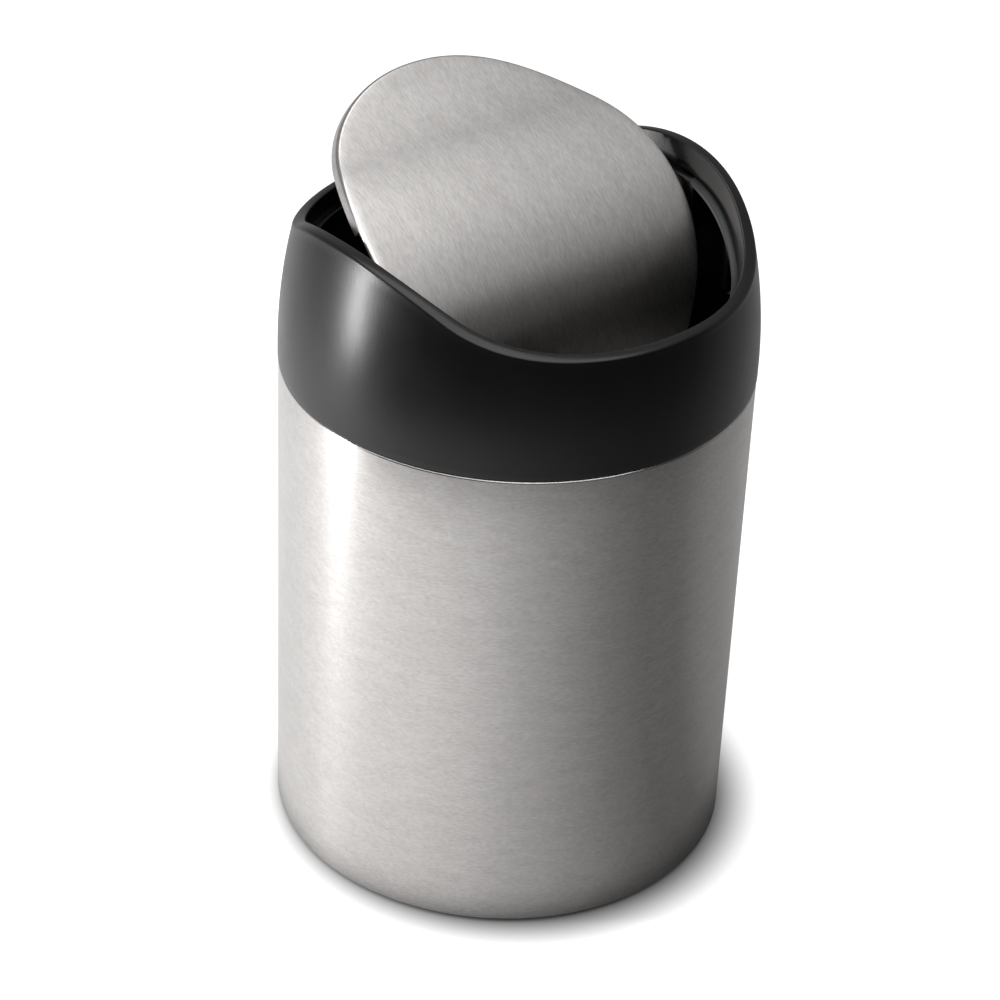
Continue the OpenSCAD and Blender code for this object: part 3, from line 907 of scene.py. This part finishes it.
def swung(radius, height, angle):
    """A point of the closed lid, turned about the pivots to where the lid stands."""
    x = radius * math.cos(angle)
    y = radius * math.sin(angle)
    up = height - PIVOT_Z
    sine = math.sin(math.radians(LID_OPEN))
    cosine = math.cos(math.radians(LID_OPEN))
    return (x * MM, (y * cosine - up * sine) * MM, (y * sine + up * cosine + PIVOT_Z) * MM)


def lid_sheet():
    """The lid's sheet as one closed skin: its outer face, its inner face and its cut edge.

    The sheet curves with the rim while its outline is an oval, so its points are worked out."""
    points = [swung(0, RIM_HIGH - LID_DROP, 0), swung(0, RIM_HIGH - LID_DROP - LID_T, 0)]
    rings = LID_RINGS + BEND_RINGS + 1
    for column in range(LID_COLUMNS):
        angle = 2 * math.pi * column / LID_COLUMNS
        for inset in (0, LID_T):
            for radius, height in lid_column(angle, inset):
                points.append(swung(radius, height, angle))

    def at(column, face, ring):
        return 2 + (column % LID_COLUMNS) * 2 * rings + face * rings + ring

    def beside_pivot(column):
        angle = 2 * math.pi * (column + 0.5) / LID_COLUMNS
        return abs(oval_radius(LID, LID_POWER, angle) * math.sin(angle)) < EDGE_GAP_HALF

    faces = []
    for column in range(LID_COLUMNS):
        after = column + 1
        faces.append((0, at(column, 0, 0), at(after, 0, 0)))
        faces.append((1, at(after, 1, 0), at(column, 1, 0)))
        last = rings - 2 if beside_pivot(column) else rings - 1
        for ring in range(last):
            for face, flip in ((0, False), (1, True)):
                quad = [
                    at(column, face, ring), at(column, face, ring + 1),
                    at(after, face, ring + 1), at(after, face, ring),
                ]
                faces.append(tuple(reversed(quad)) if flip else tuple(quad))
        faces.append((
            at(column, 0, last), at(column, 1, last),
            at(after, 1, last), at(after, 0, last),
        ))
        if beside_pivot(column) != beside_pivot(after):
            faces.append((
                at(after, 0, rings - 2), at(after, 0, rings - 1),
                at(after, 1, rings - 1), at(after, 1, rings - 2),
            ))
    return skinned("brushed_lid", points, faces)


lid = lid_sheet()
# The same steel, brushed from front to back before it was pressed: fine hairlines along the
# lid, and highlights that are drawn out across it.
LID_STEEL = brushed_steel(
    "brushed_430_stainless_lengthwise",
    packing=(1.0, 0.2, 0.2),
    contrast=1.1,
    spread=(1, 0, 0),
    roughness=0.285,
)


def edge_spot(turn):
    """A point on the middle of the clinched tabs' path, under the lid's folded edge."""
    across = oval_radius(LID, LID_POWER, turn) - TAB_INSET
    spot = Vector((across * math.cos(turn), across * math.sin(turn), 0))
    spot.z = rim_height(spot.y) - LID_DROP - LID_EDGE + TAB_T / 2
    return spot


for number in range(TAB_COUNT):
    turn = math.radians(360 / TAB_COUNT * (number + 0.5))
    spot = edge_spot(turn)
    along = (edge_spot(turn + 0.01) - spot).normalized()
    inward = along.cross(Vector((0, 0, 1))).normalized()
    upward = inward.cross(along)
    tab = block(
        "clinch_tab",
        (-TAB_W / 2, -TAB_L / 2, -TAB_T / 2),
        (TAB_W / 2, TAB_L / 2, TAB_T / 2),
        soft=0.12,
    )
    facing = Matrix((inward, along, upward)).transposed().to_4x4()
    lid = combined(lid, placed(tab, SWING @ Matrix.Translation(spot * MM) @ facing), "UNION")
lid = smoothed(lid, 40)
finished(lid, LID_STEEL, "lid", "lid_panel")


# ---- Lid frame, pins and balance weight ----
# A black ABS frame stiffens the sheet and carries two pressed-in steel pins. A steel bar
# under the pivots, held by two screws, brings the lid back level. The frame keeps the CAD
# mesh, with the collar's plastic in its slot.

# Mild steel bar with a dull zinc plate.
WEIGHT_STEEL = plated_steel("dull_zinc_plated_bar", "#9a9b9d", 0.45)
# Ground pin steel, bright and bare.
PIN_STEEL = plated_steel("ground_pin_steel", "#c4c3c0", 0.22)
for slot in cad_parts["lid_frame"].material_slots:
    slot.material = COLLAR_PLASTIC
WEIGHT_TOP = 169.5
WEIGHT_T = 5.0
WEIGHT_HALF = 32.0
WEIGHT_LOW = WEIGHT_TOP - WEIGHT_T
WEIGHT_R = 6.0
WEIGHT_SOFT = 0.4
WEIGHT_SCREW_AT = 20.0
DRILL_R = 1.6
PIN_R = 2.0
PIN_L = 10.4
PIN_SOFT = 0.4
PIN_IN = 40.835

weight = block(
    "weight_bar",
    (WEIGHT_R - WEIGHT_HALF, -WEIGHT_R, WEIGHT_LOW),
    (WEIGHT_HALF - WEIGHT_R, WEIGHT_R, WEIGHT_TOP),
    WEIGHT_SOFT,
)
for side in (-1, 1):
    end = turned(
        "weight_end",
        [(0.5, WEIGHT_LOW), (WEIGHT_R - WEIGHT_SOFT, WEIGHT_LOW)]
        + [(WEIGHT_R - 0.1, WEIGHT_LOW + 0.1), (WEIGHT_R, WEIGHT_LOW + WEIGHT_SOFT)]
        + [(WEIGHT_R, WEIGHT_TOP - WEIGHT_SOFT), (WEIGHT_R - 0.1, WEIGHT_TOP - 0.1)]
        + [(WEIGHT_R - WEIGHT_SOFT, WEIGHT_TOP), (0.5, WEIGHT_TOP)],
        columns=96,
        hollow=False,
    )
    reach = Matrix.Translation((side * (WEIGHT_HALF - WEIGHT_R) * MM, 0, 0))
    weight = combined(weight, placed(end, reach), "UNION")
for side in (-1, 1):
    drill = turned(
        "drill",
        [(0.5, WEIGHT_LOW - 1), (DRILL_R, WEIGHT_LOW - 1), (DRILL_R, WEIGHT_TOP + 1)]
        + [(0.5, WEIGHT_TOP + 1)],
        columns=48,
        hollow=False,
    )
    reach = Matrix.Translation((side * WEIGHT_SCREW_AT * MM, 0, 0))
    weight = combined(weight, placed(drill, reach), "DIFFERENCE")
weight = smoothed(placed(weight, SWING))
finished(weight, WEIGHT_STEEL, "lid", "balance_weight")

screw = self_tapper("weight_screw", shank_r=1.5, length=9.95, head_r=3.0, head_h=1.6, pitch=1.0)
for side, name in ((-1, "left"), (1, "right")):
    spot = Matrix.Translation((side * WEIGHT_SCREW_AT * MM, 0, WEIGHT_LOW * MM))
    twin = placed(copied(screw, f"weight_screw_{name}"), SWING @ spot)
    finished(twin, SCREW_ZINC, "lid", "weight_screws")
bpy.data.objects.remove(screw)

pin = turned(
    "ground_pin",
    [(0.5, 0.0), (PIN_R - PIN_SOFT, 0.0), (PIN_R, PIN_SOFT), (PIN_R, PIN_L - PIN_SOFT)]
    + [(PIN_R - PIN_SOFT, PIN_L), (0.5, PIN_L)],
    columns=64,
    hollow=False,
)
pin = placed(pin, on_pivot(PIN_IN))
for turn, side in ((180, "left"), (0, "right")):
    twin = placed(copied(pin, f"ground_pin_{side}"), SWING @ about_z(turn))
    finished(twin, PIN_STEEL, "lid", f"pivot_pin_{side}")
bpy.data.objects.remove(pin)


# ---- Studio ----
# A pale floor under a white surround, a low strip lamp at the left and a large softbox
# overhead. A graded dark dome stands for the dark side of the room. Only reflections meet
# it, and it gives the steel and the plastic their dark sides.

LIFT_OFF_CAMERA = 0.17
LIFT_FOR_CAMERA = 0.45
# Centre and radii of the painted contact shadow on the floor, set a little to the front.
PAINTED_SHADE_MIDDLE = (0.0005, -0.004, 0.0)
PAINTED_SHADE_IN = 0.054
PAINTED_SHADE_OUT = 0.073
WORLD_LEVEL = 0.45
# White paper that reads as white to the camera, in reflections and through clear things, with a
# painted contact shadow that starts under the can's edge: the paper's colour and glow darken
# there.
FLOOR_WHITE = new_finish("white_floor_sheet")
floor_place = add_node(FLOOR_WHITE, "ShaderNodeTexCoord")
floor_away = add_node(
    FLOOR_WHITE, "ShaderNodeVectorMath",
    settings={"operation": "DISTANCE"},
    sockets={1: PAINTED_SHADE_MIDDLE},
    links={0: floor_place.outputs["Object"]},
)
floor_clear_of_painted_shade = add_node(
    FLOOR_WHITE, "ShaderNodeMapRange",
    settings={"interpolation_type": "SMOOTHSTEP"},
    sockets={"From Min": PAINTED_SHADE_IN, "From Max": PAINTED_SHADE_OUT},
    links={"Value": floor_away.outputs["Value"]},
)
# Painted contact shadow: the paper's colour falls from 0.8 to 0.1 towards the can.
floor_painted_shade_colour = add_node(
    FLOOR_WHITE, "ShaderNodeMapRange",
    sockets={"To Min": 0.1, "To Max": 0.8},
    links={"Value": floor_clear_of_painted_shade.outputs["Result"]},
)
floor_paper = add_node(
    FLOOR_WHITE, "ShaderNodeBsdfDiffuse",
    links={"Color": floor_painted_shade_colour.outputs["Result"]},
)
floor_rays = add_node(FLOOR_WHITE, "ShaderNodeLightPath")
floor_strength = add_node(
    FLOOR_WHITE, "ShaderNodeMapRange",
    sockets={"To Min": LIFT_OFF_CAMERA, "To Max": LIFT_FOR_CAMERA},
    links={"Value": floor_rays.outputs["Is Camera Ray"]},
)
# The same ring darkens the glow too, as painted contact shadow.
floor_glow = add_node(
    FLOOR_WHITE, "ShaderNodeEmission",
    links={"Color": floor_clear_of_painted_shade.outputs["Result"], "Strength": floor_strength.outputs["Result"]},
)


def seen_directly(owner, rays):
    """1 for the rays of the camera, of reflections and through clear things, 0 for others."""
    seen = add_node(
        owner, "ShaderNodeMath",
        settings={"operation": "MAXIMUM"},
        links={0: rays.outputs["Is Camera Ray"], 1: rays.outputs["Is Glossy Ray"]},
    )
    through = add_node(
        owner, "ShaderNodeMath",
        settings={"operation": "MAXIMUM"},
        links={0: seen.outputs[0], 1: rays.outputs["Is Transmission Ray"]},
    )
    return through.outputs[0]


floor_nothing = add_node(FLOOR_WHITE, "ShaderNodeEmission", sockets={"Strength": 0.0})
floor_lift = add_node(
    FLOOR_WHITE, "ShaderNodeMixShader",
    links={
        0: seen_directly(FLOOR_WHITE, floor_rays),
        1: floor_nothing.outputs[0],
        2: floor_glow.outputs[0],
    },
)
floor_both = add_node(
    FLOOR_WHITE, "ShaderNodeAddShader",
    links={0: floor_paper.outputs[0], 1: floor_lift.outputs[0]},
)
finish_with(FLOOR_WHITE, floor_both.outputs[0])

bpy.ops.object.select_all(action="DESELECT")
bpy.ops.mesh.primitive_plane_add(size=12, location=(0, 0, 0))
floor = bpy.context.object
floor.name = "floor_sheet"
floor.data.materials.append(FLOOR_WHITE)

world = bpy.data.worlds.new("pale_surround")
bpy.context.scene.world = world
world.use_nodes = True
world.node_tree.nodes.clear()
world_rays = add_node(world, "ShaderNodeLightPath")
world_level = add_node(
    world, "ShaderNodeMapRange",
    sockets={"To Min": WORLD_LEVEL, "To Max": 1.0},
    links={"Value": seen_directly(world, world_rays)},
)
surround = add_node(
    world, "ShaderNodeBackground",
    sockets={"Color": (1.0, 1.0, 1.0, 1.0)},
    links={"Strength": world_level.outputs["Result"]},
)
add_node(world, "ShaderNodeOutputWorld", links={"Surface": surround.outputs["Background"]})


def soft_lamp(name, place, aim, width, height, watts):
    """A rectangular softbox at a place, turned to face a point, in metres."""
    bpy.ops.object.select_all(action="DESELECT")
    turn = (Vector(aim) - Vector(place)).to_track_quat("-Z", "Y").to_euler()
    bpy.ops.object.light_add(type="AREA", location=place, rotation=turn)
    lamp = bpy.context.object
    lamp.name = name
    lamp.data.shape = "RECTANGLE"
    lamp.data.size = width
    lamp.data.size_y = height
    lamp.data.energy = watts


soft_lamp(
    "low_strip_lamp",
    place=(-0.44, 0.23, 0.15),
    aim=(0, 0, 0.15),
    width=0.045,
    height=0.24,
    watts=1.5,
)
soft_lamp(
    "top_softbox",
    place=(-0.24, -0.25, 0.85),
    aim=(-0.24, -0.25, 0),
    width=1.1,
    height=1.35,
    watts=9.3,
)

# How much of the white the dome hides. CARD_TURNS says it for each turn, in degrees from
# the front towards the right. FAR_TURNS does the same, but only beyond FAR_OUT metres from
# the middle. CARD_HEIGHTS says it for each height, in degrees above the horizon, times
# CARD_DARK. The most of the three counts.
CARD_TURNS = [
    (-180, 0.1), (-160, 0.18), (-142, 0.2), (-106, 0.2), (-88, 0.24), (-70, 0.29), (-52, 0.4),
    (-34, 0.57), (-16, 0.7), (2, 0.81), (20, 0.87), (38, 0.86), (56, 0.76), (74, 0.71),
    (92, 0.64), (110, 0.6), (150, 0.3), (180, 0.1),
]
FAR_TURNS = [
    (-180, 0.0), (-140, 0.1), (-115, 0.8), (-100, 0.97), (45, 0.97), (62, 0.8), (78, 0.4),
    (92, 0.12), (120, 0.0), (180, 0.0),
]
CARD_HEIGHTS = [(0, 0.0), (4, 0.2), (8, 1.0), (60, 1.0), (90, 1.0)]
CARD_DARK = 0.75
FAR_IN = 0.32
FAR_OUT = 0.42
CARD_R = 1.5
# Matt black card that lets part of the surround through, more or less by direction.
CARD_BLACK = new_finish("graded_black_card")
card_place = add_node(CARD_BLACK, "ShaderNodeTexCoord")


def ramp_of(fac, stops):
    """A ramp node over a value, filled with grey stops of (place, value)."""
    ramp = add_node(CARD_BLACK, "ShaderNodeValToRGB", links={"Fac": fac})
    elements = ramp.color_ramp.elements
    while len(elements) < len(stops):
        elements.new(0.5)
    for element, (place, value) in zip(elements, stops):
        element.position = place
        element.color = (value, value, value, 1.0)
    return ramp.outputs["Color"]


def worked_out(operation, first, second):
    """A sum on two values, of which the second may be a plain number."""
    plain = isinstance(second, float)
    sum_node = add_node(
        CARD_BLACK, "ShaderNodeMath",
        settings={"operation": operation},
        sockets={1: second} if plain else None,
        links={0: first} if plain else {0: first, 1: second},
    )
    return sum_node.outputs[0]


card_axes = add_node(
    CARD_BLACK, "ShaderNodeSeparateXYZ",
    links={"Vector": card_place.outputs["Object"]},
)
card_front = worked_out("MULTIPLY", card_axes.outputs["Y"], -1.0)
card_turn = add_node(
    CARD_BLACK, "ShaderNodeMapRange",
    sockets={"From Min": -math.pi, "From Max": math.pi},
    links={"Value": worked_out("ARCTAN2", card_axes.outputs["X"], card_front)},
)
card_flat = add_node(
    CARD_BLACK, "ShaderNodeVectorMath",
    settings={"operation": "NORMALIZE"},
    links={"Vector": card_place.outputs["Object"]},
)
card_up = add_node(
    CARD_BLACK, "ShaderNodeSeparateXYZ",
    links={"Vector": card_flat.outputs["Vector"]},
)
card_away = add_node(
    CARD_BLACK, "ShaderNodeVectorMath",
    settings={"operation": "LENGTH"},
    links={"Vector": card_place.outputs["Object"]},
)
card_far = add_node(
    CARD_BLACK, "ShaderNodeMapRange",
    sockets={"From Min": FAR_IN, "From Max": FAR_OUT},
    links={"Value": card_away.outputs["Value"]},
)
by_turn = ramp_of(
    card_turn.outputs["Result"],
    [((turn + 180) / 360, value) for turn, value in CARD_TURNS],
)
by_far_turn = ramp_of(
    card_turn.outputs["Result"],
    [((turn + 180) / 360, value) for turn, value in FAR_TURNS],
)
by_height = ramp_of(
    card_up.outputs["Z"],
    [(math.sin(math.radians(height)), value) for height, value in CARD_HEIGHTS],
)
far_cover = worked_out("MULTIPLY", by_far_turn, card_far.outputs["Result"])
near_cover = worked_out("MAXIMUM", by_turn, worked_out("MULTIPLY", by_height, CARD_DARK))
card_clear = add_node(CARD_BLACK, "ShaderNodeBsdfTransparent")
card_dark = add_node(CARD_BLACK, "ShaderNodeEmission", sockets={"Color": (0.02, 0.02, 0.02, 1.0)})
card_mix = add_node(
    CARD_BLACK, "ShaderNodeMixShader",
    links={
        0: worked_out("MAXIMUM", near_cover, far_cover),
        1: card_clear.outputs[0],
        2: card_dark.outputs[0],
    },
)
finish_with(CARD_BLACK, card_mix.outputs[0])

bpy.ops.object.select_all(action="DESELECT")
bpy.ops.mesh.primitive_uv_sphere_add(
    segments=96,
    ring_count=48,
    radius=CARD_R,
    location=(0, 0, 0),
)
card = bpy.context.object
card.name = "graded_card"
bpy.ops.object.mode_set(mode="EDIT")
bpy.ops.mesh.select_all(action="SELECT")
# The dome is closed just above the floor, so that the floor's reflection is graded too.
bpy.ops.mesh.bisect(
    plane_co=(0, 0, 0.0004),
    plane_no=(0, 0, 1),
    clear_inner=True,
    use_fill=True,
)
bpy.ops.object.mode_set(mode="OBJECT")
card.data.materials.append(CARD_BLACK)
card.visible_camera = False
card.visible_diffuse = False
card.visible_shadow = False
card.visible_transmission = False
card.visible_volume_scatter = False

bpy.ops.object.camera_add(location=(-0.44013, -0.51752, 0.52775))
camera = bpy.context.object
camera.name = "photo_camera"
camera.rotation_mode = "QUATERNION"
camera.rotation_quaternion = (
    Quaternion((0, 0, 1), math.radians(-40.14))
    @ Quaternion((1, 0, 0), math.radians(57.344))
    @ Quaternion((0, 0, 1), math.radians(2.664))
)
camera.data.lens = 110.57
camera.data.sensor_width = 36.0
bpy.context.scene.camera = camera
bpy.context.scene.view_settings.view_transform = "Standard"
